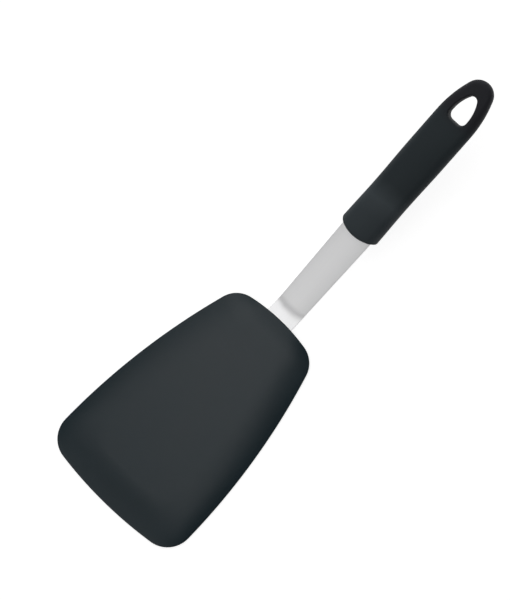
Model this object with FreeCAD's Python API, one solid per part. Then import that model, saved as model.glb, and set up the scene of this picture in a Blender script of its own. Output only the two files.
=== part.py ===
import FreeCAD, Part
import math
import os

# A flexible kitchen turner: a silicone blade moulded over a thin spring-steel sheet, a bent stainless
# strap welded to that sheet, and a handle with a hang hole moulded round the strap's tang.
# The blade lies flat on Z = 0 with its centre at the origin. Its working edge faces +X, and the
# handle rises towards -X. All sizes are in millimetres.

V = FreeCAD.Vector

# Blade outline, seen from above
BLADE_LENGTH = 146.7
FRONT_WIDTH = 99.1          # between the side curves, level with the working edge
NECK_WIDTH = 59.6           # between the side curves, level with the neck edge
SIDE_BULGE = 6.8            # each side's bow beyond a straight line, at half length
FRONT_EDGE_RADIUS = 260.0
NECK_EDGE_RADIUS = 122.0
FRONT_CORNER_RADIUS = 16.6
NECK_CORNER_RADIUS = 15.6

# Blade thickness: the rim wall, then a soft shoulder that swells to a flat-topped crown
RIM_FRONT = 1.1
RIM_NECK = 3.4
CROWN_FRONT = 3.1
CROWN_NECK = 4.7
SHOULDER_FRONT = 22.0       # width of the soft shoulder behind the working edge
SHOULDER_SIDE = 20.0
SHOULDER_NECK = 14.0
FRONT_CROWN_CORNER = 20.0   # corner radii of the crown, inside the soft shoulder
NECK_CROWN_CORNER = 8.0
RIM_BREAK = 0.4             # the rim's edges are broken by this much
SHOULDER_STEPS = 5

# Spring-steel sheet inside the blade
SHEET_THICKNESS = 0.5
SHEET_COVER = 0.9           # silicone under the sheet
SHEET_INSET_FRONT = 13.0
SHEET_INSET_SIDE = 10.0
SHEET_INSET_NECK = 8.0
SHEET_CORNER = 9.0
KEY_HOLE_RADIUS = 4.0       # silicone flows through these holes
KEY_HOLE_PITCH = 33.0
KEY_HOLE_MARGIN = 4.0       # steel left between a hole and an edge

# Stainless strap
STRAP_THICKNESS = 1.5
FOOT_WIDTH = 18.7
FOOT_LAP = 36.0             # length of foot lying on the sheet, inside the blade
FOOT_BARE = 9.2             # from the neck edge back to the corner of the bend
FOOT_END_RADIUS = 6.0
BEND_RADIUS = 24.0
BEND_STEPS = 3
HANDLE_RISE = 20.0          # degrees above the blade
STRAP_CROWN_RADIUS = 95.0   # the strap is slightly domed across its width
STRAP_LENGTH = 58.3         # from the corner of the bend to the handle's mouth
STRAP_MOUTH_WIDTH = 20.8
TANG_WIDTH = 13.0
TANG_TO_HOLE = 21.5         # from the tang's end to the hang hole
TANG_END_RADIUS = 4.0
TANG_HOLE_RADIUS = 3.0
TANG_HOLES = 2

# Handle, measured from its mouth along its length
HANDLE_LENGTH = 115.5
MOUTH_WIDTH = 25.5
WAIST_WIDTH = 24.7
BELLY_WIDTH = 25.5
MOUTH_HEIGHT = 18.6
WAIST_HEIGHT = 14.8
BELLY_HEIGHT = 15.4
LOOP_HEIGHT = 11.0
WAIST_AT = 32.0
BELLY_AT = 62.0
LOOP_AT = 95.0
HANDLE_SHOULDER_RADIUS = 83.0
HANDLE_TIP_RADIUS = 8.7
TIP_ROUND = 6.0             # over this length the height rounds off to the tip
SIDE_ROUND_SHARE = 0.85     # radius of an oval section's sides, as a share of its half height
MOUTH_BOW_RADIUS = 24.0     # the mouth bows towards the blade, seen from above
MOUTH_LIP = 1.1             # the mouth's edge is broken by this much
BODY_STEPS = 14
ARCH_STEPS = 5
TIP_STEPS = 5
GRIP_SKIN = 2.2             # soft skin over the sides of the rigid core
GRIP_FRONT_WALL = 4.7       # soft wall at the mouth, ahead of the core
CORE_HEIGHT = 7.4
CORE_CHAMFER = 2.0

# Hang hole, an arch with its point towards the handle's tip
HOLE_LENGTH = 19.8
HOLE_WIDTH = 12.0
HOLE_SIDE_RADIUS = 24.0
HOLE_APEX_RADIUS = 2.7
HOLE_CORNER_RADIUS = 3.5
HOLE_TO_TIP = 9.9
HOLE_LIP = 0.9              # rounding of the hole's edges
HOLE_LIP_STEPS = 2

# Worked out from the sizes above
FRONT_X = BLADE_LENGTH / 2
NECK_X = -BLADE_LENGTH / 2
SHEET_TOP = SHEET_COVER + SHEET_THICKNESS
STRAP_MIDDLE = SHEET_TOP + STRAP_THICKNESS / 2
BEND_X = NECK_X - FOOT_BARE
BEND_RUN = BEND_RADIUS * math.tan(math.radians(HANDLE_RISE) / 2)
TANG_START = STRAP_LENGTH + GRIP_FRONT_WALL
HANDLE_END = STRAP_LENGTH + HANDLE_LENGTH
HOLE_START = HANDLE_END - HOLE_TO_TIP - HOLE_LENGTH
TANG_LENGTH = HOLE_START - TANG_TO_HOLE - TANG_START
FAR = 200.0                 # reach of cutting tools that run past the part
TRIM_MARGIN = 0.5           # a blank stands this far past the plan that trims it
NEAR = 0.1                  # two places closer than this are the same


def arc(start, end, centre):
    """The shorter arc from start to end about a centre."""
    radius = (start - centre).Length
    middle = (start + end) * 0.5 - centre
    return Part.Arc(start, centre + middle.normalize() * radius, end).toShape()


def line(start, end):
    return Part.LineSegment(start, end).toShape()


def across(point):
    """The same point on the other side of the centre line."""
    return V(point.x, -point.y, point.z)


def side_circle():
    """Centre and radius of the blade's +Y side curve, through its front, middle and neck."""
    middle_width = (FRONT_WIDTH + NECK_WIDTH) / 2 + 2 * SIDE_BULGE
    curve = Part.Circle(
        V(FRONT_X, FRONT_WIDTH / 2), V(0, middle_width / 2), V(NECK_X, NECK_WIDTH / 2)
    )
    return curve.Center, curve.Radius


def crossing(centre_a, radius_a, centre_b, radius_b, near):
    """The crossing of two circles that lies nearer to a given point."""
    step = centre_b - centre_a
    distance = step.Length
    step.normalize()
    along = (radius_a ** 2 - radius_b ** 2 + distance ** 2) / (2 * distance)
    aside = math.sqrt(radius_a ** 2 - along ** 2)
    foot = centre_a + step * along
    normal = V(-step.y, step.x)
    return min((foot + normal * aside, foot - normal * aside), key=lambda p: (p - near).Length)


def blade_outline(front_inset, side_inset, neck_inset, front_corner, neck_corner):
    """The blade's outline, or one set in from it, as a closed wire on Z = 0."""
    side_centre, side_radius = side_circle()
    side_radius -= side_inset
    front_centre = V(FRONT_X - FRONT_EDGE_RADIUS, 0)
    front_radius = FRONT_EDGE_RADIUS - front_inset
    neck_centre = V(NECK_X + NECK_EDGE_RADIUS, 0)
    neck_radius = NECK_EDGE_RADIUS - neck_inset

    def corner(end_centre, end_radius, corner_radius, near):
        """A corner's centre, its tangent point on the end edge and that on the side."""
        centre = crossing(
            end_centre, end_radius - corner_radius, side_centre, side_radius - corner_radius, near
        )
        on_end = end_centre + (centre - end_centre).normalize() * end_radius
        on_side = side_centre + (centre - side_centre).normalize() * side_radius
        return centre, on_end, on_side

    front = corner(front_centre, front_radius, front_corner, V(FRONT_X, FRONT_WIDTH / 2))
    neck = corner(neck_centre, neck_radius, neck_corner, V(NECK_X, NECK_WIDTH / 2))
    edges = [
        arc(across(front[1]), front[1], front_centre),
        arc(front[1], front[2], front[0]),
        arc(front[2], neck[2], side_centre),
        arc(neck[2], neck[1], neck[0]),
        arc(neck[1], across(neck[1]), neck_centre),
        arc(across(neck[1]), across(neck[2]), across(neck[0])),
        arc(across(neck[2]), across(front[2]), across(side_centre)),
        arc(across(front[2]), across(front[1]), across(front[0])),
    ]
    return Part.Wire(edges)


def sloped(wire, front_height, neck_height):
    """Lifts a flat outline so that its height runs evenly from the front edge to the neck edge."""
    lifted = wire.copy()
    slope = math.degrees(math.atan2(neck_height - front_height, BLADE_LENGTH))
    lifted.rotate(V(0, 0, 0), V(0, 1, 0), slope)
    lifted.translate(V(0, 0, (front_height + neck_height) / 2))
    return lifted


def rim_outline(inset, front_height, neck_height):
    """The blade's outline, set in by a little and lifted to the heights given."""
    outline = blade_outline(
        inset, inset, inset, FRONT_CORNER_RADIUS - inset, NECK_CORNER_RADIUS - inset
    )
    return sloped(outline, front_height, neck_height)


def shoulder_outline(share):
    """The outline part-way up the soft shoulder: share 1 is the crown."""
    swell = 1 - (1 - share) ** 2
    outline = blade_outline(
        share * SHOULDER_FRONT,
        share * SHOULDER_SIDE,
        share * SHOULDER_NECK,
        FRONT_CORNER_RADIUS + share * (FRONT_CROWN_CORNER - FRONT_CORNER_RADIUS),
        NECK_CORNER_RADIUS + share * (NECK_CROWN_CORNER - NECK_CORNER_RADIUS),
    )
    front_height = RIM_FRONT + swell * (CROWN_FRONT - RIM_FRONT)
    neck_height = RIM_NECK + swell * (CROWN_NECK - RIM_NECK)
    return sloped(outline, front_height, neck_height)


def blade_body():
    """The blade's outer form, solid all through: a rim with broken edges, then the shoulder."""
    sections = [
        rim_outline(RIM_BREAK, 0, 0),
        rim_outline(0, RIM_BREAK, RIM_BREAK),
        rim_outline(0, RIM_FRONT - RIM_BREAK, RIM_NECK - RIM_BREAK),
        rim_outline(RIM_BREAK, RIM_FRONT, RIM_NECK),
    ]
    for step in range(1, SHOULDER_STEPS + 1):
        sections.append(shoulder_outline(step / SHOULDER_STEPS))
    return Part.makeLoft(sections, True, True)


def key_hole_centres():
    """Rows of holes over the sheet, clear of its edges and of the strap's foot."""
    side_centre, side_radius = side_circle()
    keep = KEY_HOLE_RADIUS + KEY_HOLE_MARGIN
    first_x = FRONT_X - SHEET_INSET_FRONT - keep - KEY_HOLE_RADIUS
    last_x = NECK_X + SHEET_INSET_NECK + keep
    foot_end = NECK_X + FOOT_LAP + keep
    centres = []
    for row in range(int((first_x - last_x) / KEY_HOLE_PITCH) + 1):
        x = first_x - row * KEY_HOLE_PITCH
        side_y = side_centre.y + math.sqrt(side_radius ** 2 - (x - side_centre.x) ** 2)
        room = side_y - SHEET_INSET_SIDE - keep
        count = int(2 * room / KEY_HOLE_PITCH) + 1
        for column in range(count):
            y = (column - (count - 1) / 2) * KEY_HOLE_PITCH
            if x > foot_end or abs(y) > FOOT_WIDTH / 2 + keep:
                centres.append(V(x, y, 0))
    return centres


def sheet():
    """The spring-steel sheet, with holes that key it into the silicone."""
    outline = blade_outline(
        SHEET_INSET_FRONT, SHEET_INSET_SIDE, SHEET_INSET_NECK, SHEET_CORNER, SHEET_CORNER
    )
    holes = [
        Part.Wire(Part.makeCircle(KEY_HOLE_RADIUS, centre)) for centre in key_hole_centres()
    ]
    face = Part.makeFace([outline] + holes, "Part::FaceMakerBullseye")
    plate = face.extrude(V(0, 0, SHEET_THICKNESS))
    plate.translate(V(0, 0, SHEET_COVER))
    return plate


def on_handle_line(shape):
    """Carries a shape drawn along +X from the bend's corner onto the rising line of the handle."""
    placed = shape.copy()
    placed.rotate(V(0, 0, 0), V(0, 0, 1), 180)
    placed.rotate(V(0, 0, 0), V(0, 1, 0), HANDLE_RISE)
    placed.translate(V(BEND_X, 0, STRAP_MIDDLE))
    return placed


def strap_section(width, dome):
    """A cross-section of the strap at X = 0, domed by dropping its edges below its middle."""
    half = width / 2

    def surface(height):
        left = V(0, -half, height - dome)
        right = V(0, half, height - dome)
        if dome == 0:
            return line(left, right)
        return Part.Arc(left, V(0, 0, height), right).toShape()

    top = surface(STRAP_THICKNESS / 2)
    bottom = surface(-STRAP_THICKNESS / 2)
    right_side = line(top.Vertexes[1].Point, bottom.Vertexes[1].Point)
    left_side = line(bottom.Vertexes[0].Point, top.Vertexes[0].Point)
    return Part.Wire(Part.sortEdges([top, right_side, bottom, left_side])[0])


def dome_drop(width):
    """How far the edges of a domed strip of this width lie below its middle."""
    return STRAP_CROWN_RADIUS - math.sqrt(STRAP_CROWN_RADIUS ** 2 - (width / 2) ** 2)


def strap_foot():
    """The flat foot, from the start of the bend to its rounded end on the sheet."""
    start_x = BEND_X + BEND_RUN
    end_x = NECK_X + FOOT_LAP
    plate = Part.makeBox(
        end_x - start_x, FOOT_WIDTH, STRAP_THICKNESS, V(start_x, -FOOT_WIDTH / 2, SHEET_TOP)
    )
    ends = [
        edge
        for edge in plate.Edges
        if edge.BoundBox.ZLength > NEAR and edge.CenterOfMass.x > end_x - NEAR
    ]
    return plate.makeFillet(FOOT_END_RADIUS, ends)


def strap_bend():
    """The bend, where the flat foot turns up and takes on the strap's dome."""
    centre = V(BEND_X + BEND_RUN, 0, STRAP_MIDDLE + BEND_RADIUS)
    sections = []
    for step in range(BEND_STEPS + 1):
        share = step / BEND_STEPS
        turn = HANDLE_RISE * share
        ease = share * share * (3 - 2 * share)
        section = strap_section(FOOT_WIDTH, dome_drop(FOOT_WIDTH) * ease)
        section.translate(V(0, 0, -BEND_RADIUS))
        section.rotate(V(0, 0, 0), V(0, 1, 0), turn)
        section.translate(centre)
        sections.append(section)
    return Part.makeLoft(sections, True, False)


def strap_plan():
    """The strap's plan beyond the bend: a slow taper, shoulders in the mouth, then the tang."""
    tang_end = TANG_START + TANG_LENGTH
    half_side = [
        V(BEND_RUN, FOOT_WIDTH / 2),
        V(TANG_START, STRAP_MOUTH_WIDTH / 2),
        V(TANG_START, TANG_WIDTH / 2),
        V(tang_end, TANG_WIDTH / 2),
    ]
    points = half_side + [across(point) for point in reversed(half_side)]
    outline = Part.makePolygon(points + points[:1])
    blank = Part.Face(outline).extrude(V(0, 0, FAR))
    blank.translate(V(0, 0, -FAR / 2))
    ends = [
        edge
        for edge in blank.Edges
        if edge.BoundBox.ZLength > NEAR and edge.CenterOfMass.x > tang_end - NEAR
    ]
    blank = blank.makeFillet(TANG_END_RADIUS, ends)
    for hole in range(TANG_HOLES):
        x = TANG_START + TANG_LENGTH * (hole + 1) / (TANG_HOLES + 1)
        blank = blank.cut(Part.makeCylinder(TANG_HOLE_RADIUS, FAR, V(x, 0, -FAR / 2)))
    return blank


def strap_bar():
    """The straight domed strap and its tang, blanked out of a domed strip."""
    strip_width = STRAP_MOUTH_WIDTH + 2 * TRIM_MARGIN
    section = strap_section(strip_width, dome_drop(strip_width))
    strip = Part.Face(section).extrude(V(TANG_START + TANG_LENGTH + TRIM_MARGIN, 0, 0))
    return on_handle_line(strip.common(strap_plan()))


def shank():
    """The whole strap: foot, bend, domed strap and tang in one strip of steel."""
    return strap_foot().fuse([strap_bend(), strap_bar()]).removeSplitter().Solids[0]


def arch_run(half_width, side_radius, tip_radius):
    """Length of an arched end, from where it starts to the centre of its tip arc."""
    return math.sqrt((side_radius - tip_radius) ** 2 - (side_radius - half_width) ** 2)


def arch_edges(half_width, side_radius, tip_radius, tip_x):
    """An arched end in plan: two side arcs that run into a small tip arc, from +Y to -Y."""
    tip_centre = V(tip_x - tip_radius, 0)
    start = V(tip_centre.x - arch_run(half_width, side_radius, tip_radius), half_width)
    side_centre = V(start.x, half_width - side_radius)
    touch = side_centre + (tip_centre - side_centre).normalize() * side_radius
    return [
        arc(start, touch, side_centre),
        arc(touch, across(touch), tip_centre),
        arc(across(touch), across(start), across(side_centre)),
    ]


def handle_arch():
    """Along the handle: the start of its arched end, its meeting with the tip arc, that arc's centre."""
    run = arch_run(BELLY_WIDTH / 2, HANDLE_SHOULDER_RADIUS, HANDLE_TIP_RADIUS)
    centre = HANDLE_LENGTH - HANDLE_TIP_RADIUS
    touch = centre + HANDLE_TIP_RADIUS * run / (HANDLE_SHOULDER_RADIUS - HANDLE_TIP_RADIUS)
    return centre - run, touch, centre


def eased(place, knots):
    """A size that eases from one knot to the next along the handle, and runs level at each."""
    for (start, first), (end, last) in zip(knots, knots[1:]):
        if place <= end:
            share = (place - start) / (end - start)
            return first + (last - first) * (1 - math.cos(math.pi * share)) / 2
    return knots[-1][1]


def handle_half_width(place):
    """Half the handle's width at a distance from its mouth: an eased body with an arched end."""
    half_belly = BELLY_WIDTH / 2
    knots = [(0, MOUTH_WIDTH / 2), (WAIST_AT, WAIST_WIDTH / 2), (BELLY_AT, half_belly)]
    body = eased(place, knots)
    start, touch, centre = handle_arch()
    if place <= start:
        return body
    if place < touch:
        rise = math.sqrt(HANDLE_SHOULDER_RADIUS ** 2 - (place - start) ** 2)
        return min(body, rise - (HANDLE_SHOULDER_RADIUS - half_belly))
    return math.sqrt(HANDLE_TIP_RADIUS ** 2 - (place - centre) ** 2)


def handle_half_height(place):
    """Half the handle's height at a distance from its mouth, rounded off at the tip."""
    knots = [
        (0, MOUTH_HEIGHT), (WAIST_AT, WAIST_HEIGHT), (BELLY_AT, BELLY_HEIGHT), (LOOP_AT, LOOP_HEIGHT)
    ]
    half_height = eased(place, knots) / 2
    to_tip = HANDLE_LENGTH - place
    if to_tip < TIP_ROUND:
        half_height *= math.sqrt(1 - (1 - to_tip / TIP_ROUND) ** 2)
    return half_height


def oval(x, half_width, half_height):
    """A flattened oval of four arcs that run into each other, across the handle at X."""
    side_radius = SIDE_ROUND_SHARE * min(half_width, half_height)
    side_y = half_width - side_radius
    top_radius = (side_y ** 2 + half_height ** 2 - side_radius ** 2) / (2 * (half_height - side_radius))
    reach = top_radius / (top_radius - side_radius)
    corner = V(x, side_y * reach, (half_height - top_radius) * (1 - reach))
    low_corner = V(x, corner.y, -corner.z)
    arcs = [
        Part.Arc(across(corner), V(x, 0, half_height), corner),
        Part.Arc(corner, V(x, half_width, 0), low_corner),
        Part.Arc(low_corner, V(x, 0, -half_height), across(low_corner)),
        Part.Arc(across(low_corner), V(x, -half_width, 0), across(corner)),
    ]
    return Part.Wire([curve.toShape() for curve in arcs])


def spread(start, end, steps):
    """Places from start to end, even steps apart, without the first."""
    return [start + (end - start) * (step + 1) / steps for step in range(steps)]


def handle_form():
    """The handle's outer form: ovals along its length, with a flat mouth and a closed tip."""
    start, touch, centre = handle_arch()
    places = [-TRIM_MARGIN] + spread(0, start, BODY_STEPS) + spread(start, touch, ARCH_STEPS)
    touch_turn = math.acos((touch - centre) / HANDLE_TIP_RADIUS)
    for turn in spread(touch_turn, 0, TIP_STEPS)[:-1]:
        places.append(centre + HANDLE_TIP_RADIUS * math.cos(turn))
    sections = [
        oval(STRAP_LENGTH + place, handle_half_width(place), handle_half_height(place))
        for place in places
    ]
    sections.append(Part.Vertex(V(HANDLE_END, 0, 0)))
    return Part.makeLoft(sections, True, True)


def tall_prism(outline):
    """A prism of an outline on Z = 0 that passes right through the handle."""
    prism = Part.Face(outline).extrude(V(0, 0, FAR))
    prism.translate(V(0, 0, -FAR / 2))
    return prism


def bowed(form):
    """Trims the front of a handle to a bow, seen from above, and breaks the mouth's edge."""
    front = V(STRAP_LENGTH, 0)
    centre = front + V(MOUTH_BOW_RADIUS, 0)
    side = centre + V(0, MOUTH_BOW_RADIUS)
    far_side = side + V(FAR, 0)
    outline = Part.Wire(
        [
            Part.Arc(across(side), front, side).toShape(),
            line(side, far_side),
            line(far_side, across(far_side)),
            line(across(far_side), across(side)),
        ]
    )
    trimmed = form.common(tall_prism(outline))
    mouth = next(face for face in trimmed.Faces if isinstance(face.Surface, Part.Cylinder))
    return trimmed.makeChamfer(MOUTH_LIP, mouth.Edges)


def hole_outline(grow, z):
    """The hang hole's outline at a height, grown where it flares or passes through the core."""
    tip_x = HANDLE_END - HOLE_TO_TIP + grow
    half_width = HOLE_WIDTH / 2 + grow
    base_x = HOLE_START - grow
    corner = HOLE_CORNER_RADIUS + grow
    end = arch_edges(half_width, HOLE_SIDE_RADIUS + grow, HOLE_APEX_RADIUS + grow, tip_x)
    start = end[0].Vertexes[0].Point
    side = V(base_x + corner, half_width)
    base = V(base_x, half_width - corner)
    centre = V(base_x + corner, half_width - corner)
    edges = [
        arc(base, side, centre),
        line(side, start),
        *end,
        line(across(start), across(side)),
        arc(across(side), across(base), across(centre)),
        line(across(base), base),
    ]
    outline = Part.Wire(edges)
    outline.translate(V(0, 0, z))
    return outline


def hole_flare():
    """The tool that rounds the hang hole's upper edge, widening as it rises."""
    floor = LOOP_HEIGHT / 2 - HOLE_LIP
    sections = [hole_outline(0, floor)]
    for turn in spread(0, math.pi / 2, HOLE_LIP_STEPS):
        sections.append(
            hole_outline(HOLE_LIP * (1 - math.cos(turn)), floor + HOLE_LIP * math.sin(turn))
        )
    sections.append(hole_outline(HOLE_LIP, LOOP_HEIGHT))
    return Part.makeLoft(sections, True, True)


def core_form():
    """The handle's rigid core before the tang is let into it: a flat bar with a holed, arched end."""
    front_x = STRAP_LENGTH + GRIP_FRONT_WALL
    half_width = WAIST_WIDTH / 2 - GRIP_SKIN
    end = arch_edges(
        half_width,
        HANDLE_SHOULDER_RADIUS - GRIP_SKIN,
        HANDLE_TIP_RADIUS - GRIP_SKIN,
        HANDLE_END - GRIP_SKIN,
    )
    start = end[0].Vertexes[0].Point
    front = V(front_x, half_width)
    outline = Part.Wire(
        [line(front, start), *end, line(across(start), across(front)), line(across(front), front)]
    )
    outline.translate(V(0, 0, -CORE_HEIGHT / 2))
    bar = Part.Face(outline).extrude(V(0, 0, CORE_HEIGHT))
    long_edges = [
        edge
        for edge in bar.Edges
        if edge.BoundBox.ZLength < NEAR and edge.BoundBox.XMax > front_x + NEAR
    ]
    bar = bar.makeChamfer(CORE_CHAMFER, long_edges)
    return bar.cut(tall_prism(hole_outline(GRIP_SKIN, 0)))


def grip_form():
    """The handle's outer form with its hang hole, both edges of the hole rounded."""
    upper = hole_flare()
    lower = upper.mirror(V(0, 0, 0), V(0, 0, 1))
    return bowed(handle_form()).cut([tall_prism(hole_outline(0, 0)), upper, lower])


def main():
    spring_sheet = sheet()
    steel_shank = shank()
    blade = blade_body().cut(spring_sheet).cut(steel_shank)
    rigid_core = core_form()
    core = on_handle_line(rigid_core).cut(steel_shank)
    grip = on_handle_line(grip_form().cut(rigid_core)).cut(steel_shank)
    parts = {
        "silicone_blade": blade,
        "spring_steel_sheet": spring_sheet,
        "steel_shank": steel_shank,
        "handle_core": core,
        "handle_grip": grip,
    }
    os.makedirs("parts", exist_ok=True)
    for name, shape in parts.items():
        solid = shape.Solids[0]
        solid.exportStep(f"parts/{name}.step")
        print(
            name,
            "valid" if solid.isValid() else "INVALID",
            len(shape.Solids), "solid",
            len(solid.Faces), "faces",
            round(solid.Volume / 1000, 2), "cm3",
        )


main()
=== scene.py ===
# %% [markdown]
# # A flexible kitchen turner
# The tool has three pieces that show: a flared silicone blade, a bent steel strap and a soft-touch
# handle with a hang hole. Two more are buried: a spring-steel sheet in the blade and a rigid core in
# the handle. The construction model gives their places, and this lesson gives them their looks.

# %% Load the frame
import bmesh
import bpy
import math
from mathutils import Matrix, Vector
from mathutils.geometry import intersect_sphere_sphere_2d


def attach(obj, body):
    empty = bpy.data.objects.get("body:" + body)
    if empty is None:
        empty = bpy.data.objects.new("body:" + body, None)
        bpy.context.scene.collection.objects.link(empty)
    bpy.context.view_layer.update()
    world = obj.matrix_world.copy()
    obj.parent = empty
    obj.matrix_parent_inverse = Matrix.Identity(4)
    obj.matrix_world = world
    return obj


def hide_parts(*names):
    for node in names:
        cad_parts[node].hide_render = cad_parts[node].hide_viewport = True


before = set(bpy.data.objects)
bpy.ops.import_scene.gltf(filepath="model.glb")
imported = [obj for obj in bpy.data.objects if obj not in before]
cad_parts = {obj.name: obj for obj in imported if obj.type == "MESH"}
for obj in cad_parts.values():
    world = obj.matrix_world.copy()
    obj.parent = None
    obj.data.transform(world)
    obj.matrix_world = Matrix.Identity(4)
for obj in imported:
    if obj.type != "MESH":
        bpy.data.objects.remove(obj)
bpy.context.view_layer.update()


def rounded(point, digits=4):
    """A point with short numbers, for printing."""
    return tuple(round(c, digits) for c in point)


print("nodes:", sorted(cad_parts))

# %% [markdown]
# ## Where the camera stands
# The photograph was taken from almost straight above with a long lens, so that the blade looks flat
# and the handle, which rises, hardly seems to. A camera is easiest to describe by the point that it
# aims at, how far it leans from the vertical and how it is rolled. The rows of its matrix follow
# from these with two cross products.

# %% Camera
MM = 0.001
PHOTO_HEIGHT = 600
FOCAL_PIXELS = 2051.4
SENSOR = 36.0
AIM = Vector((-71.94, -18.91, 0.0))
CAMERA_DISTANCE = 1200.0
LEAN_X = math.radians(5.197)
LEAN_Y = math.radians(8.757)
ROLL = math.radians(134.2)


def make_camera():
    back = Vector((math.sin(LEAN_X), math.sin(LEAN_Y), 0))
    back.z = math.sqrt(1 - back.length_squared)
    level = Vector((1, 0, 0)) - back * back.x
    level.normalize()
    right = math.cos(ROLL) * level + math.sin(ROLL) * back.cross(level)
    turn = Matrix((right, back.cross(right), back)).transposed().to_4x4()
    lens = bpy.data.cameras.new("photo_camera")
    lens.sensor_width = SENSOR
    lens.lens = SENSOR * FOCAL_PIXELS / PHOTO_HEIGHT
    camera = bpy.data.objects.new("photo_camera", lens)
    camera.matrix_world = Matrix.Translation((AIM + back * CAMERA_DISTANCE) * MM) @ turn
    bpy.context.scene.collection.objects.link(camera)
    bpy.context.scene.camera = camera
    return camera


camera = make_camera()
print("camera at", rounded(camera.matrix_world.translation, 3), "lens", round(camera.data.lens, 1))

# %% [markdown]
# ## Drawing with a ruler and a compass
# The blade, the handle and its hole are all outlines of straight runs and arcs that meet without a
# corner, as a pattern maker draws them. A curve object could hold them too, but a mesh that is
# bridged from outline to outline needs the same number of points on each. So two helpers draw into a
# bmesh: the ruler extrudes a point along a straight run, and the compass spins it round a centre.

# %% Ruler and compass


def ruler(bm, point, end, steps):
    """Extrudes a point in even steps to an end, and gives the points on the way."""
    start = point.co.copy()
    drawn = []
    for step in range(1, steps + 1):
        point = bmesh.ops.extrude_vert_indiv(bm, verts=[point])["verts"][0]
        point.co = start.lerp(end, step / steps)
        drawn.append(point)
    return drawn


def compass(bm, point, centre, end, steps):
    """Spins a point about a centre until it faces an end, and gives the points on the way."""
    arm = (point.co - centre).to_2d()
    turn = arm.angle_signed((end - centre).to_2d(), 0.0)
    before = set(bm.verts)
    bmesh.ops.spin(bm, geom=[point], cent=centre, axis=(0, 0, 1), angle=-turn, steps=steps)
    return [vert for vert in bm.verts if vert not in before]


paper = bmesh.new()
run = ruler(paper, paper.verts.new((0, 0, 0)), Vector((2, 0, 0)), 2)
arc = compass(paper, run[-1], Vector((2, 1, 0)), Vector((3, 1, 0)), 2)
print("a run and an arc on trial paper:", [rounded(point.co, 2) for point in run + arc])
paper.free()

# %% [markdown]
# ## The blade
# The blade is one moulding of silicone: a thin rim, a soft shoulder that swells inside it, and a flat
# crown over the buried sheet. It could be a flat plate with a big bevel, but the shoulder is wider at
# the front than at the neck. So its outline is drawn again and again, each time further in and higher,
# and the outlines are bridged. Only the +Y half is drawn, and a mirror makes the other.

# %% Blade sizes, in millimetres
BLADE_LENGTH = 146.7
FRONT_WIDTH = 99.1
NECK_WIDTH = 59.6
SIDE_BULGE = 6.8
MIDDLE_WIDTH = (FRONT_WIDTH + NECK_WIDTH) / 2 + 2 * SIDE_BULGE
FRONT_EDGE_RADIUS = 260.0
NECK_EDGE_RADIUS = 122.0
FRONT_X = BLADE_LENGTH / 2
NECK_X = -BLADE_LENGTH / 2
FRONT_CENTRE = Vector((FRONT_X - FRONT_EDGE_RADIUS, 0, 0))
NECK_CENTRE = Vector((NECK_X + NECK_EDGE_RADIUS, 0, 0))
SIDE_FRONT = Vector((FRONT_X, FRONT_WIDTH / 2, 0))
SIDE_MIDDLE = Vector((0, MIDDLE_WIDTH / 2, 0))
SIDE_NECK = Vector((NECK_X, NECK_WIDTH / 2, 0))


def circle_through(a, b, c):
    """Centre and radius of the circle through three points of a plane."""
    ab, ac = b - a, c - a
    area = 2 * (ab.x * ac.y - ab.y * ac.x)
    x = (ac.y * ab.length_squared - ab.y * ac.length_squared) / area
    y = (ab.x * ac.length_squared - ac.x * ab.length_squared) / area
    offset = Vector((x, y, 0))
    return a + offset, offset.length


SIDE_CENTRE, SIDE_RADIUS = circle_through(SIDE_FRONT, SIDE_MIDDLE, SIDE_NECK)
print("blade's side radius", round(SIDE_RADIUS, 1), "mm")

# %% Blade heights
RIM_FRONT, RIM_NECK = 1.1, 3.3
CROWN_FRONT, CROWN_NECK = 3.1, 4.7
RIM_EASE = 4.0
BOSS_KNOTS = [(10.0, 1.0), (30.0, 0.5)]
SIDE_POWER, FRONT_POWER = 1.85, 1.8
FRONT_EASE = 8.0
CORNER_KNOTS = [(28.0, 0.0), (46.0, 0.8)]
CORNER_EASE = 2


def eased(place, knots):
    """A size that eases from one knot to the next, and runs level at each."""
    for (start, first), (end, last) in zip(knots, knots[1:]):
        if place <= end:
            share = max(0, place - start) / (end - start)
            return first + (last - first) * (1 - math.cos(math.pi * share)) / 2
    return knots[-1][1]


def blade_height(place, share):
    """The height at a place on the blade, a share of the way up its shoulder from rim to crown."""
    along = max(0, FRONT_X - place.x) / BLADE_LENGTH
    boss = eased(abs(place.y), BOSS_KNOTS)
    rim = RIM_FRONT + (RIM_NECK - RIM_FRONT) * along ** RIM_EASE * boss
    crown = CROWN_FRONT + (CROWN_NECK - CROWN_FRONT) * along
    power = SIDE_POWER + (FRONT_POWER - SIDE_POWER) * (1 - along) ** FRONT_EASE
    power += eased(abs(place.y), CORNER_KNOTS) * (1 - along) ** CORNER_EASE
    return crown - (crown - rim) * (1 - share) ** power


print("rim and crown half way along:", [round(blade_height(SIDE_MIDDLE, share), 2) for share in (0, 1)])

# %% Blade outline
FRONT_CORNER, FRONT_CROWN_CORNER = 16.6, 12.0
NECK_CORNER, NECK_CROWN_CORNER = 15.6, 10.0
SHOULDER_FRONT, SHOULDER_SIDE, SHOULDER_NECK = 22.0, 22.0, 14.0
FRONT_STEPS, BLADE_CORNER_STEPS, BLADE_SIDE_STEPS, NECK_STEPS = 12, 12, 40, 10


def meeting(centre_a, radius_a, centre_b, radius_b, near):
    """The crossing of two circles that lies nearer to a given point."""
    found = intersect_sphere_sphere_2d(centre_a.to_2d(), radius_a, centre_b.to_2d(), radius_b)
    return min((point.to_3d() for point in found), key=lambda point: (point - near).length)


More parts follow.
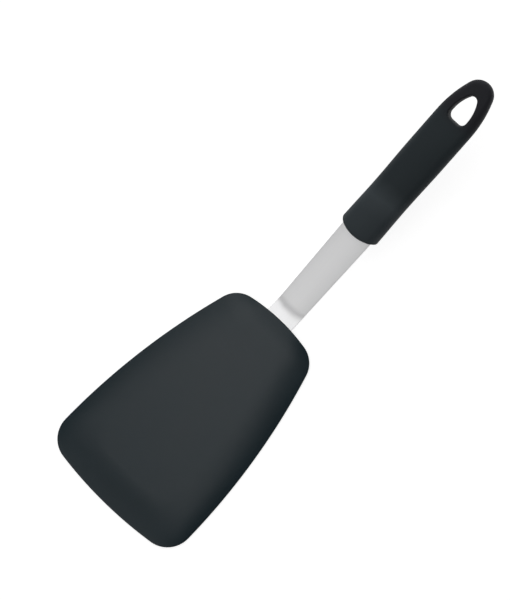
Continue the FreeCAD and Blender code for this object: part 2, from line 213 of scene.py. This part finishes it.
def rounded_corner(end_centre, end_radius, side_radius, radius, near):
    """A corner arc's centre, and where the arc touches an end of the blade and its side."""
    centre = meeting(end_centre, end_radius - radius, SIDE_CENTRE, side_radius - radius, near)
    on_end = end_centre + (centre - end_centre).normalized() * end_radius
    on_side = SIDE_CENTRE + (centre - SIDE_CENTRE).normalized() * side_radius
    return centre, on_end, on_side


def blade_row(bm, share):
    """Draws half of the blade's outline, a share of the way up its shoulder from rim to crown."""
    front_corner = FRONT_CORNER + share * (FRONT_CROWN_CORNER - FRONT_CORNER)
    neck_corner = NECK_CORNER + share * (NECK_CROWN_CORNER - NECK_CORNER)
    side_radius = SIDE_RADIUS - share * SHOULDER_SIDE
    front_radius = FRONT_EDGE_RADIUS - share * SHOULDER_FRONT
    neck_radius = NECK_EDGE_RADIUS - share * SHOULDER_NECK
    front = rounded_corner(FRONT_CENTRE, front_radius, side_radius, front_corner, SIDE_FRONT)
    neck = rounded_corner(NECK_CENTRE, neck_radius, side_radius, neck_corner, SIDE_NECK)
    row = [bm.verts.new(FRONT_CENTRE + Vector((front_radius, 0, 0)))]
    row += compass(bm, row[-1], FRONT_CENTRE, front[1], FRONT_STEPS)
    row += compass(bm, row[-1], front[0], front[2], BLADE_CORNER_STEPS)
    row += compass(bm, row[-1], SIDE_CENTRE, neck[2], BLADE_SIDE_STEPS)
    row += compass(bm, row[-1], neck[0], neck[1], BLADE_CORNER_STEPS)
    row += compass(bm, row[-1], NECK_CENTRE, NECK_CENTRE - Vector((neck_radius, 0, 0)), NECK_STEPS)
    for point in row:
        point.co.z = blade_height(point.co, share)
    return row


BLADE_POINTS = 1 + FRONT_STEPS + 2 * BLADE_CORNER_STEPS + BLADE_SIDE_STEPS + NECK_STEPS
print("points on half of the blade's outline:", BLADE_POINTS)

# %% From outlines to a skin
MERGE_DISTANCE = 0.001
SHARP = math.radians(45)


def chain_edges(points):
    """The edges that join a row of points."""
    return [
        next(edge for edge in first.link_edges if edge.other_vert(first) is second)
        for first, second in zip(points, points[1:])
    ]


def bridge(bm, first, second):
    """Fills the strip between two rows of points."""
    return bmesh.ops.bridge_loops(bm, edges=chain_edges(first) + chain_edges(second))["faces"]


def bridge_rows(bm, rows):
    """Fills the strips between each row and the next."""
    for first, second in zip(rows, rows[1:]):
        bridge(bm, first, second)


def mirror(bm, axis):
    """Adds the mirror image of all that is drawn."""
    drawn = bm.verts[:] + bm.edges[:] + bm.faces[:]
    bmesh.ops.mirror(bm, geom=drawn, axis=axis, merge_dist=MERGE_DISTANCE)


def round_sharp_edges(bm, radius, segments):
    """Bevels every edge where two faces meet at more than 45 degrees."""
    sharp = [edge for edge in bm.edges if edge.is_manifold and edge.calc_face_angle() > SHARP]
    bmesh.ops.bevel(
        bm, geom=sharp, offset=radius, segments=segments, profile=0.5, affect="EDGES", material=-1
    )


# %% From a skin to a piece


def finished(bm, name, node):
    """Turns a bmesh drawn in millimetres into a piece that stands for a node of the frame."""
    bmesh.ops.remove_doubles(bm, verts=bm.verts, dist=MERGE_DISTANCE)
    bmesh.ops.recalc_face_normals(bm, faces=bm.faces)
    bmesh.ops.scale(bm, vec=(MM, MM, MM), verts=bm.verts)
    for face in bm.faces:
        face.smooth = True
    mesh = bpy.data.meshes.new(name)
    bm.to_mesh(mesh)
    loose = sum(1 for edge in bm.edges if len(edge.link_faces) != 2)
    bm.free()
    piece = bpy.data.objects.new(name, mesh)
    bpy.context.scene.collection.objects.link(piece)
    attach(piece, "root")
    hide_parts(node)
    print(name, len(mesh.polygons), "faces,", loose, "open edges")
    return piece


# %% Blade mesh
SHOULDER_ROWS = 22
RIM_ROUND, RIM_SEGMENTS = 0.45, 4


def make_blade():
    bm = bmesh.new()
    underside = blade_row(bm, 0)
    for point in underside:
        point.co.z = 0
    shoulder = [blade_row(bm, step / SHOULDER_ROWS) for step in range(SHOULDER_ROWS + 1)]
    bridge_rows(bm, [underside] + shoulder)
    mirror(bm, "Y")
    bmesh.ops.holes_fill(bm, edges=[edge for edge in bm.edges if edge.is_boundary], sides=0)
    bmesh.ops.recalc_face_normals(bm, faces=bm.faces)
    round_sharp_edges(bm, RIM_ROUND, RIM_SEGMENTS)
    return finished(bm, "blade", "silicone_blade")


blade = make_blade()

# %% [markdown]
# ## The strap
# One strip of stainless steel: its flat foot goes into the blade, a bend lifts it towards the handle,
# and from there it is slightly domed across, which makes a thin strap stiff. A row of points across
# the strip is swept along it: extruded for the straight runs and spun for the bend. The dome is then
# pressed in, the sheet is given its thickness and its sharp edges are broken.

# %% Strap sizes, in millimetres
STRAP_THICKNESS = 1.5
STRAP_TOP = 2.9
FOOT_WIDTH = 18.7
FOOT_LAP = 36.0
FOOT_BARE = 9.2
BEND_RADIUS = 24.0
BEND_LEAD = 0.7
RISE = math.radians(20)
DOME_RADIUS = 95.0
MOUTH_STRAP_WIDTH = 20.8
TANG_START = 63.0
TANG_WIDTH = 13.0
TANG_LENGTH = 59.6
STRAP_MIDDLE = STRAP_TOP - STRAP_THICKNESS / 2
BEND_X = NECK_X - FOOT_BARE
BEND_RUN = BEND_RADIUS * math.tan(RISE / 2)
BEND_START = BEND_X + BEND_LEAD + BEND_RUN
HANDLE_LINE = Vector((-math.cos(RISE), 0, math.sin(RISE)))
print("the bend starts", round(NECK_X - BEND_START, 2), "mm out of the blade")

# %% Sweeping a row and pressing the dome


def only(kind, items):
    """The items of one kind, out of all that an operator made."""
    return [item for item in items if isinstance(item, kind)]


def sweep_row(bm, edges, step, widen, times):
    """Extrudes a row of edges along a step several times, widening it evenly to a share of its width."""
    for time in range(times):
        made = bmesh.ops.extrude_edge_only(bm, edges=edges)["geom"]
        verts = only(bmesh.types.BMVert, made)
        edges = only(bmesh.types.BMEdge, made)
        bmesh.ops.translate(bm, vec=step / times, verts=verts)
        growth = (1 + (widen - 1) * (time + 1) / times) / (1 + (widen - 1) * time / times)
        bmesh.ops.scale(bm, vec=(1, growth, 1), verts=verts)
    return edges


def press_dome(bm):
    """Lowers the strap's edges beyond the bend, easing in from the flat foot."""
    for vert in bm.verts:
        turn = math.asin(min(max((BEND_START - vert.co.x) / BEND_RADIUS, 0), math.sin(RISE)))
        share = turn / RISE
        drop = DOME_RADIUS - math.sqrt(DOME_RADIUS ** 2 - vert.co.y ** 2)
        lowered = drop * share * share * (3 - 2 * share)
        vert.co -= Vector((math.sin(turn), 0, math.cos(turn))) * lowered


# %% Strap mesh
STRAP_COLUMNS = 24
FOOT_STEPS, BEND_STEPS, STRAP_STEPS, TANG_STEPS = 12, 16, 20, 12
TANG_SLACK = 0.5
EDGE_BREAK, EDGE_SEGMENTS = 0.12, 8


def make_strap():
    bm = bmesh.new()
    foot_end = Vector((NECK_X + FOOT_LAP, 0, STRAP_TOP))
    half = Vector((0, FOOT_WIDTH / 2, 0))
    first = bm.edges.new([bm.verts.new(foot_end - half), bm.verts.new(foot_end + half)])
    bmesh.ops.subdivide_edges(bm, edges=[first], cuts=STRAP_COLUMNS - 1)
    row = sweep_row(bm, bm.edges[:], Vector((BEND_START - foot_end.x, 0, 0)), 1, FOOT_STEPS)
    spun = bmesh.ops.spin(
        bm,
        geom=row + list(dict.fromkeys(vert for edge in row for vert in edge.verts)),
        cent=(BEND_START, 0, STRAP_MIDDLE + BEND_RADIUS),
        axis=(0, 1, 0),
        angle=RISE,
        steps=BEND_STEPS,
    )
    row = only(bmesh.types.BMEdge, spun["geom_last"])
    to_tang = HANDLE_LINE * (TANG_START - BEND_RUN)
    row = sweep_row(bm, row, to_tang, MOUTH_STRAP_WIDTH / FOOT_WIDTH, STRAP_STEPS)
    reach = TANG_WIDTH / 2 + TANG_SLACK
    row = [edge for edge in row if max(abs(vert.co.y) for vert in edge.verts) < reach]
    sweep_row(bm, row, HANDLE_LINE * TANG_LENGTH, 1, TANG_STEPS)
    press_dome(bm)
    bmesh.ops.recalc_face_normals(bm, faces=bm.faces)
    if bm.faces[:][0].normal.z < 0:
        bmesh.ops.reverse_faces(bm, faces=bm.faces)
    bmesh.ops.solidify(bm, geom=bm.faces[:], thickness=STRAP_THICKNESS)
    round_sharp_edges(bm, EDGE_BREAK, EDGE_SEGMENTS)
    return finished(bm, "strap", "steel_shank")


strap = make_strap()

# %% [markdown]
# ## The handle's grip
# The grip is moulded round its core in one soft skin: a flared mouth, a slight waist, and a flatter end
# with a rounded three-cornered hang hole. Lofting cross-sections would leave the hole to a boolean cut,
# which makes poor faces round it. Instead the outline and the hole are drawn in plan, half of each, in
# rows that climb over a rounded edge, and the top is filled between them. Every point then gets its
# real height, and two mirrors make the whole.

# %% Grip sizes, in millimetres from the corner of the bend
MOUTH_AT = 58.3
MOUTH_BOW_RADIUS = 24.0
HANDLE_LENGTH = 115.2
MOUTH_WIDTH, WAIST_WIDTH, BELLY_WIDTH = 25.5, 24.7, 25.4
MOUTH_HEIGHT, WAIST_HEIGHT, BELLY_HEIGHT, LOOP_HEIGHT, TIP_HEIGHT = 18.6, 14.8, 15.4, 11.0, 9.2
WAIST_AT, BELLY_AT, LOOP_AT = 32.0, 62.0, 95.0
TIP_RADIUS = 9.0
SHOULDER_RADIUS = 70.0
HANDLE_END = MOUTH_AT + HANDLE_LENGTH
TIP_CENTRE = Vector((HANDLE_END - TIP_RADIUS, 0, 0))
HALF_BELLY = BELLY_WIDTH / 2


def arch_run(half_width, side_radius, tip_radius):
    """Length of an arched end, from where it starts to the centre of its tip arc."""
    return math.sqrt((side_radius - tip_radius) ** 2 - (side_radius - half_width) ** 2)


ARCH_RUN = arch_run(HALF_BELLY, SHOULDER_RADIUS, TIP_RADIUS)
ARCH_START = TIP_CENTRE.x - ARCH_RUN
print("the arched end starts", round(ARCH_START, 1), "mm from the bend")

# %% Grip outline
MOUTH_CORNER = 1.3
SIDE_ROUND = 4.9
TIP_EDGE_ROUND = 2.6
LIP_ROUND = 1.1
MOUTH_STEPS, CORNER_STEPS, SIDE_STEPS, SHOULDER_STEPS, TIP_STEPS = 6, 4, 44, 22, 10


def arch(bm, row, half_width, side_radius, tip_radius, tip_centre, start_x, side_steps):
    """Draws an arched end from the last point of a row: a side arc that runs into a tip arc."""
    side_centre = Vector((start_x, half_width - side_radius, 0))
    touch = side_centre + (tip_centre - side_centre).normalized() * side_radius
    row += compass(bm, row[-1], side_centre, touch, side_steps)
    row += compass(bm, row[-1], tip_centre, tip_centre + Vector((tip_radius, 0, 0)), TIP_STEPS)


def grip_row(bm, share, lift):
    """Draws half of the grip's outline, set in by a share of its edge rounding, at a unit height."""
    half_width = HALF_BELLY - share * SIDE_ROUND
    tip_radius = TIP_RADIUS - share * TIP_EDGE_ROUND
    lip = LIP_ROUND / (MOUTH_HEIGHT / 2)
    past_lip = max(0, (lift - 1 + lip) / lip)
    bow_radius = MOUTH_BOW_RADIUS - LIP_ROUND * (1 - math.sqrt(1 - past_lip ** 2))
    bow_centre = Vector((MOUTH_AT + MOUTH_BOW_RADIUS, 0, 0))
    reach = bow_radius - MOUTH_CORNER
    corner_y = half_width - MOUTH_CORNER
    corner_centre = bow_centre + Vector((-math.sqrt(reach ** 2 - corner_y ** 2), corner_y, 0))
    on_bow = bow_centre + (corner_centre - bow_centre).normalized() * bow_radius
    side_radius = (ARCH_RUN ** 2 + half_width ** 2 - tip_radius ** 2) / (2 * (half_width - tip_radius))
    row = [bm.verts.new(bow_centre - Vector((bow_radius, 0, 0)))]
    row += compass(bm, row[-1], bow_centre, on_bow, MOUTH_STEPS)
    row += compass(bm, row[-1], corner_centre, corner_centre + Vector((0, 1, 0)), CORNER_STEPS)
    row += ruler(bm, row[-1], Vector((ARCH_START, half_width, 0)), SIDE_STEPS)
    arch(bm, row, half_width, side_radius, tip_radius, TIP_CENTRE, ARCH_START, SHOULDER_STEPS)
    for point in row:
        point.co.z = lift
    return row


LOOP_STEPS = MOUTH_STEPS + CORNER_STEPS + SHOULDER_STEPS + TIP_STEPS
print("steps round half of the hanging loop, outside and inside:", LOOP_STEPS)

# %% Hole outline
HOLE_LENGTH, HOLE_WIDTH, HOLE_TO_TIP = 17.8, 11.5, 10.7
HOLE_SIDE_RADIUS, HOLE_APEX_RADIUS, HOLE_CORNER = 24.0, 3.0, 3.5
HOLE_BASE_STEPS, HOLE_SIDE_STEPS = 4, 2
HOLE_TIP_X = HANDLE_END - HOLE_TO_TIP


def hole_row(bm, grow, lift):
    """Draws half of the hang hole's outline, grown by a little, at a unit height."""
    half_width = HOLE_WIDTH / 2 + grow
    apex = HOLE_APEX_RADIUS + grow
    side_radius = HOLE_SIDE_RADIUS + grow
    corner = HOLE_CORNER + grow
    tip_centre = Vector((HOLE_TIP_X - HOLE_APEX_RADIUS, 0, 0))
    base_x = HOLE_TIP_X - HOLE_LENGTH - grow
    start_x = tip_centre.x - arch_run(half_width, side_radius, apex)
    corner_centre = Vector((base_x + corner, half_width - corner, 0))
    corner_steps = MOUTH_STEPS + CORNER_STEPS - HOLE_BASE_STEPS
    row = [bm.verts.new((base_x, 0, 0))]
    row += ruler(bm, row[-1], Vector((base_x, half_width - corner, 0)), HOLE_BASE_STEPS)
    row += compass(bm, row[-1], corner_centre, corner_centre + Vector((0, 1, 0)), corner_steps)
    row += ruler(bm, row[-1], Vector((start_x, half_width, 0)), HOLE_SIDE_STEPS)
    arch(bm, row, half_width, side_radius, apex, tip_centre, start_x, SHOULDER_STEPS - HOLE_SIDE_STEPS)
    for point in row:
        point.co.z = lift
    return row


print("the hang hole's point lies", round(HOLE_TIP_X, 1), "mm from the bend")

# %% Grip heights
HEIGHT_KNOTS = [
    (0, MOUTH_HEIGHT),
    (WAIST_AT, WAIST_HEIGHT),
    (BELLY_AT, BELLY_HEIGHT),
    (LOOP_AT, LOOP_HEIGHT),
    (HANDLE_LENGTH, TIP_HEIGHT),
]
WIDTH_KNOTS = [(0, MOUTH_WIDTH), (WAIST_AT, WAIST_WIDTH), (BELLY_AT, BELLY_WIDTH)]
CROWN_KNOTS = [(0, 0.32), (WAIST_AT, 0.32), (BELLY_AT, 0.3), (LOOP_AT, 0.12)]


def shape_grip(bm):
    """Gives each point its real width and height: flared, waisted, and crowned across."""
    for vert in bm.verts:
        place = vert.co.x - MOUTH_AT
        across = vert.co.y / HALF_BELLY
        vert.co.y *= eased(place, WIDTH_KNOTS) / BELLY_WIDTH
        crown = 1 - eased(place, CROWN_KNOTS) * across ** 2
        vert.co.z *= eased(place, HEIGHT_KNOTS) / 2 * crown


print("height half way along the grip:", round(eased(HANDLE_LENGTH / 2, HEIGHT_KNOTS), 2), "mm")

# %% Grip walls
HOLE_ROUND = 1.1
WALL_SHARE = 0.16
ROUND_ROWS = 8
ROUND_TURNS = [math.pi / 2 * step / ROUND_ROWS for step in range(ROUND_ROWS + 1)]


def grip_wall(bm):
    """Draws the side of the grip from half height to the rim of its top, and gives that rim."""
    rows = [grip_row(bm, 0, 0), grip_row(bm, 0, WALL_SHARE / 2)]
    for turn in ROUND_TURNS:
        lift = WALL_SHARE + (1 - WALL_SHARE) * math.sin(turn)
        rows.append(grip_row(bm, 1 - math.cos(turn), lift))
    bridge_rows(bm, rows)
    return rows[-1]


def hole_wall(bm):
    """Draws the wall of the hang hole from the top to half height, and gives its upper rim."""
    rows = [hole_row(bm, HOLE_ROUND * (1 - math.sin(turn)), math.cos(turn)) for turn in ROUND_TURNS]
    bridge_rows(bm, rows)
    return rows[0]


print("rows over a rounded edge:", len(ROUND_TURNS))

# %% Grip top
LOOP_CUTS = 5


def fill_top(bm, rim, hole):
    """Fills the top with a grid as far as the arched end, and with a strip round the hang hole."""
    corner = MOUTH_STEPS + CORNER_STEPS
    side = corner + SIDE_STEPS
    middle = ruler(bm, rim[0], Vector((ARCH_START, 0, 1)), SIDE_STEPS)
    cross = [middle[-1]] + ruler(bm, middle[-1], rim[side].co.copy(), corner)
    bmesh.ops.weld_verts(bm, targetmap={cross[-1]: rim[side]})
    cross[-1] = rim[side]
    bmesh.ops.grid_fill(bm, edges=chain_edges(rim[:corner + 1]) + chain_edges(cross))
    strip = bridge(bm, cross + rim[side + 1:], hole)
    rungs = [
        edge
        for face in strip
        for edge in face.edges
        if (edge.verts[0] in hole) != (edge.verts[1] in hole)
    ]
    bmesh.ops.subdivide_edges(bm, edges=list(dict.fromkeys(rungs)), cuts=LOOP_CUTS, use_grid_fill=True)


# %% Grip mesh


def make_grip():
    bm = bmesh.new()
    rim = grip_wall(bm)
    hole = hole_wall(bm)
    fill_top(bm, rim, hole)
    shape_grip(bm)
    mirror(bm, "Y")
    mirror(bm, "Z")
    onto_handle = (
        Matrix.Translation((BEND_X, 0, STRAP_MIDDLE))
        @ Matrix.Rotation(RISE, 4, "Y")
        @ Matrix.Rotation(math.pi, 4, "Z")
    )
    bmesh.ops.transform(bm, matrix=onto_handle, verts=bm.verts)
    return finished(bm, "grip", "handle_grip")


grip = make_grip()

# %% [markdown]
# ## Shader sums in plain Python
# A finish is easier to read as a sum than as a picture of nodes. One small class wraps a node's output
# and turns + - and * into Math nodes. Every other node comes from one method, which sets the node's
# settings first and then fills its sockets with numbers or links.

# %% Sums of sockets


class Signal:
    """One output of a shader node, which can be added, subtracted and multiplied."""

    def __init__(self, finish, socket):
        self.finish = finish
        self.socket = socket

    def sum_with(self, operation, first, second):
        return self.finish.node("ShaderNodeMath", {"operation": operation}, {0: first, 1: second})

    def __add__(self, other):
        return self.sum_with("ADD", self, other)

    def __radd__(self, other):
        return self.sum_with("ADD", other, self)

    def __sub__(self, other):
        return self.sum_with("SUBTRACT", self, other)

    def __rsub__(self, other):
        return self.sum_with("SUBTRACT", other, self)

    def __mul__(self, other):
        return self.sum_with("MULTIPLY", self, other)

    def __rmul__(self, other):
        return self.sum_with("MULTIPLY", other, self)


# %% Nodes of a finish


class Finish:
    """A material under construction."""

    def __init__(self, name):
        self.material = bpy.data.materials.new(name)
        self.material.use_nodes = True
        self.tree = self.material.node_tree
        self.tree.nodes.clear()

    def node(self, kind, settings=None, sockets=None, output=0):
        """Adds a node: its settings first, then numbers or links for its sockets."""
        made = self.tree.nodes.new(kind)
        for name, value in (settings or {}).items():
            if name == "stops":
                self.set_stops(made.color_ramp, value)
            else:
                setattr(made, name, value)
        for name, value in (sockets or {}).items():
            if isinstance(value, Signal):
                self.tree.links.new(value.socket, made.inputs[name])
            else:
                made.inputs[name].default_value = value
        return Signal(self, made.outputs[output] if made.outputs else None)

    def set_stops(self, ramp, stops):
        """Sets a colour ramp's stops from pairs of a place and a colour."""
        while len(ramp.elements) < len(stops):
            ramp.elements.new(1.0)
        for element, (place, colour) in zip(ramp.elements, stops):
            element.position = place
            element.color = colour

    def place(self, scale=(1, 1, 1)):
        """The piece's own coordinates, stretched."""
        here = self.node("ShaderNodeTexCoord", output="Object")
        return self.node("ShaderNodeMapping", {}, {"Vector": here, "Scale": scale})

    def noise(self, where, scale, detail=2.0, roughness=0.5):
        """A noise from 0 to 1, by a place."""
        sockets = {"Vector": where, "Scale": scale, "Detail": detail, "Roughness": roughness}
        return self.node("ShaderNodeTexNoise", {}, sockets)

    def ramp(self, amount, stops):
        """A colour from a ramp, by an amount from 0 to 1."""
        return self.node("ShaderNodeValToRGB", {"stops": stops}, {"Fac": amount})

    def tone(self, amount, low, high):
        """A colour between two, by an amount from 0 to 1."""
        return self.ramp(amount, [(0.0, low), (1.0, high)])

    def bump(self, height, strength, distance):
        """A normal that follows a height."""
        sockets = {"Height": height, "Strength": strength, "Distance": distance}
        return self.node("ShaderNodeBump", {}, sockets)

    def surface(self, **sockets):
        """Ends the material with one principled shader."""
        values = {name.replace("_", " "): value for name, value in sockets.items()}
        shader = self.node("ShaderNodeBsdfPrincipled", {}, values)
        self.node("ShaderNodeOutputMaterial", {}, {"Surface": shader})
        return self.material


def dress(piece, material):
    """Gives a piece one material."""
    piece.data.materials.clear()
    piece.data.materials.append(material)
    print(piece.name, "wears", material.name, "of", len(material.node_tree.nodes), "nodes")


# %% [markdown]
# ## Moulded silicone
# Black kitchen silicone is never quite black: it has a cool grey cast and a dull, even sheen, because
# the mould is lightly blasted. Under a lens the surface is a fine grain. A fine noise bumps the
# surface and varies its gloss, and a broad one shifts its tone and its gloss a little.

# %% Silicone
NOISE_MIDDLE = 0.5
FINE_SWING, BROAD_SWING = 0.08, 0.05
CLOUD_SCALE, CLOUD_DETAIL = 38.0, 3.0
GRAIN_DETAIL, GRAIN_ROUGHNESS = 3.0, 0.6
GRAIN_BUMP, GRAIN_DEPTH = 0.22, 0.00012
SILICONE_DARK = (0.001, 0.012, 0.018, 1)
SILICONE_LIGHT = (0.003, 0.017, 0.025, 1)


def uneven(roughness, fine, broad):
    """A roughness that a fine and a broad noise vary a little."""
    return roughness + FINE_SWING * (fine - NOISE_MIDDLE) + BROAD_SWING * (broad - NOISE_MIDDLE)


def moulded_noises(finish, here, grain):
    """The broad cloud and the fine grain of a moulded skin."""
    cloud = finish.noise(here, CLOUD_SCALE, CLOUD_DETAIL)
    fine = finish.noise(here, grain, GRAIN_DETAIL, GRAIN_ROUGHNESS)
    return cloud, fine


def silicone(name, low, high, roughness, gloss, grain):
    finish = Finish(name)
    cloud, fine = moulded_noises(finish, finish.place(), grain)
    return finish.surface(
        Base_Color=finish.tone(cloud, low, high),
        Roughness=uneven(roughness, fine, cloud),
        Specular_IOR_Level=gloss,
        Normal=finish.bump(fine, GRAIN_BUMP, GRAIN_DEPTH),
    )


blade_finish = silicone(
    "moulded_silicone", SILICONE_DARK, SILICONE_LIGHT, roughness=0.335, gloss=0.44, grain=2600.0
)
dress(blade, blade_finish)

# %% [markdown]
# ## Soft-touch rubber
# The handle's skin is a softer, duller rubber than the blade. In its first quarter behind the mouth its
# colour is painted paler, as painted light where the flared mouth catches more light; the rubber itself
# is cool in the middle and almost neutral round the hang hole. A colour ramp along the handle holds
# these tones, and the broad noise shifts the place that it reads, so that no tone ends in a line.

# %% Rubber
GRIP_RUN = HANDLE_LENGTH * math.cos(RISE) * MM
GRIP_FRONT = (BEND_X - MOUTH_AT * math.cos(RISE)) * MM
# The first two tones are painted light: paler than the body tone, they stand in for the light that the
# flared mouth catches.
MOUTH_PAINTED_LIGHT = (0.042, 0.053, 0.060, 1)
PAINTED_LIGHT_TONE = (0.055, 0.068, 0.076, 1)
BODY_TONE = (0.026, 0.035, 0.040, 1)
LOOP_TONE = (0.022, 0.023, 0.028, 1)
RUBBER_TONES_AND_PAINTED_LIGHT = [
    (0.12, MOUTH_PAINTED_LIGHT),
    (0.21, PAINTED_LIGHT_TONE),
    (0.30, BODY_TONE),
    (0.70, BODY_TONE),
    (0.80, LOOP_TONE),
]
TONE_SHIFT = 0.08
RUBBER_ROUGHNESS, RUBBER_GLOSS, RUBBER_GRAIN = 0.64, 0.2, 3400.0


def soft_touch(name):
    finish = Finish(name)
    here = finish.place()
    cloud, fine = moulded_noises(finish, here, RUBBER_GRAIN)
    x = finish.node("ShaderNodeSeparateXYZ", {}, {"Vector": here}, "X")
    along = (GRIP_FRONT - x) * (1 / GRIP_RUN)
    return finish.surface(
        # The ramp paints light: its first stops paint the rubber behind the mouth paler than it is.
        Base_Color=finish.ramp(along + TONE_SHIFT * (cloud - NOISE_MIDDLE), RUBBER_TONES_AND_PAINTED_LIGHT),
        Roughness=uneven(RUBBER_ROUGHNESS, fine, cloud),
        Specular_IOR_Level=RUBBER_GLOSS,
        Normal=finish.bump(fine, GRAIN_BUMP, GRAIN_DEPTH),
    )


dress(grip, soft_touch("soft_touch_rubber"))

# %% [markdown]
# ## Satin steel
# The strap was brushed along its length before it was bent. The brush leaves fine scratches of uneven
# depth, which blur the reflection across them. A noise that is stretched along the strip bumps the
# surface and varies its gloss, and a broader one makes it a little cloudy.

# %% Steel
SCRATCH_STRETCH = (14, 1500, 60)
SCRATCH_DETAIL, SCRATCH_ROUGHNESS = 4.0, 0.65
SCRATCH_BUMP, SCRATCH_DEPTH = 0.05, 0.00002
BROAD_STRETCH = (9, 55, 20)
SCRATCH_SHARE = 0.5
STRAP_DARK, STRAP_LIGHT = (0.76, 0.76, 0.765, 1), (0.84, 0.84, 0.845, 1)


def satin_steel(name, low, high, roughness):
    finish = Finish(name)
    scratches = finish.noise(finish.place(SCRATCH_STRETCH), 1.0, SCRATCH_DETAIL, SCRATCH_ROUGHNESS)
    broad = finish.noise(finish.place(BROAD_STRETCH), 1.0)
    return finish.surface(
        Base_Color=finish.tone(SCRATCH_SHARE * scratches + (1 - SCRATCH_SHARE) * broad, low, high),
        Metallic=1.0,
        Roughness=uneven(roughness, scratches, broad),
        Normal=finish.bump(scratches, SCRATCH_BUMP, SCRATCH_DEPTH),
    )


dress(strap, satin_steel("satin_stainless", STRAP_DARK, STRAP_LIGHT, roughness=0.38))

# %% [markdown]
# ## The buried pieces
# The sheet and the core show only where someone takes the tool apart. Their construction meshes are
# right as they are, so nothing is modelled again. The sheet takes the steel's recipe in the darker tone
# of bare rolled stock, and the core takes the silicone's, with the coarser grain of hard plastic.

# %% Sheet and core
SHEET_DARK, SHEET_LIGHT = (0.42, 0.42, 0.43, 1), (0.55, 0.55, 0.56, 1)
CORE_DARK, CORE_LIGHT = (0.02, 0.02, 0.021, 1), (0.03, 0.03, 0.031, 1)
sheet_finish = satin_steel("rolled_spring_steel", SHEET_DARK, SHEET_LIGHT, roughness=0.35)
core_finish = silicone("moulded_core", CORE_DARK, CORE_LIGHT, roughness=0.45, gloss=0.5, grain=900.0)
dress(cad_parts["spring_steel_sheet"], sheet_finish)
dress(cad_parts["handle_core"], core_finish)

# %% [markdown]
# ## The studio
# The picture has a white ground and soft light from above. One oval softbox, turned a little, hangs on
# the handle's side of the blade, and a weaker square one beyond the working edge. The dark gap between
# them draws the line at the strap's bend. Three upright cards at the side and behind the handle light
# the rims. The floor is grey paint to the lamps, and glows white only to the camera and in reflections,
# so that the white ground adds no light of its own to the black rubber.

# %% Floor
FLOOR_SIZE = 20.0
FLOOR_DROP = 0.0002
FLOOR_PAINT = (0.5, 0.5, 0.5, 1)
FLOOR_GLOW = 0.8
WHITE = (1, 1, 1, 1)


def white_floor(name):
    """Grey paint that glows white to the camera and in reflections."""
    finish = Finish(name)
    rays = ("Camera", "Glossy", "Transmission")
    path = [finish.node("ShaderNodeLightPath", output=f"Is {ray} Ray") for ray in rays]
    seen = path[0] + path[1] + path[2]
    paint = finish.node("ShaderNodeBsdfDiffuse", {}, {"Color": FLOOR_PAINT})
    glow = finish.node("ShaderNodeEmission", {}, {"Color": WHITE, "Strength": FLOOR_GLOW * seen})
    both = finish.node("ShaderNodeAddShader", {}, {0: paint, 1: glow})
    finish.node("ShaderNodeOutputMaterial", {}, {"Surface": both})
    return finish.material


def make_floor():
    bm = bmesh.new()
    bmesh.ops.create_grid(bm, x_segments=1, y_segments=1, size=FLOOR_SIZE)
    bmesh.ops.translate(bm, vec=(0, 0, -FLOOR_DROP), verts=bm.verts)
    mesh = bpy.data.meshes.new("floor")
    bm.to_mesh(mesh)
    bm.free()
    floor = bpy.data.objects.new("floor", mesh)
    bpy.context.scene.collection.objects.link(floor)
    return floor


dress(make_floor(), white_floor("white_floor"))

# %% Lamps
LAMP_HEIGHT = 2.5
DOWN = (0, 0, 0)
DOWN_TURNED = (0, 0, math.radians(-30))
TO_PLUS_Y = (math.pi / 2, 0, 0)
TO_PLUS_X = (math.pi / 2, 0, -math.pi / 2)


def softbox(name, centre, size, turn, radiance, shape="RECTANGLE"):
    """A flat softbox about a centre, turned to face the tool, as bright as given."""
    light = bpy.data.lights.new(name, "AREA")
    light.shape = shape
    light.size, light.size_y = size
    fill = math.pi / 4 if shape == "ELLIPSE" else 1
    light.energy = radiance * math.pi * fill * light.size * light.size_y
    lamp = bpy.data.objects.new(name, light)
    lamp.location = centre
    lamp.rotation_euler = turn
    lamp.visible_camera = False
    bpy.context.scene.collection.objects.link(lamp)
    print(name, round(light.energy, 2), "W")


softbox(
    "key_softbox",
    centre=(-0.554, -0.676, LAMP_HEIGHT),
    size=(1.26, 2.44),
    turn=DOWN_TURNED,
    radiance=1.6,
    shape="ELLIPSE",
)
softbox("edge_softbox", centre=(2.16, -0.51, LAMP_HEIGHT), size=(2.48, 2.32), turn=DOWN, radiance=0.92)
softbox("front_side_card", centre=(1.7, -3.0, 1.625), size=(2.6, 1.95), turn=TO_PLUS_Y, radiance=0.45)
softbox("rear_side_card", centre=(-1.8, -3.0, 2.0), size=(2.4, 2.7), turn=TO_PLUS_Y, radiance=1.6)
softbox("back_card", centre=(-3.0, -0.9, 1.625), size=(4.2, 1.95), turn=TO_PLUS_X, radiance=0.8)

# %% World and view
WORLD_GREY = (0.14, 0.14, 0.14, 1)
world = bpy.data.worlds.new("studio")
bpy.context.scene.world = world
world.use_nodes = True
world.node_tree.nodes["Background"].inputs["Color"].default_value = WORLD_GREY
bpy.context.scene.view_settings.view_transform = "Standard"
print("world grey", WORLD_GREY[0])
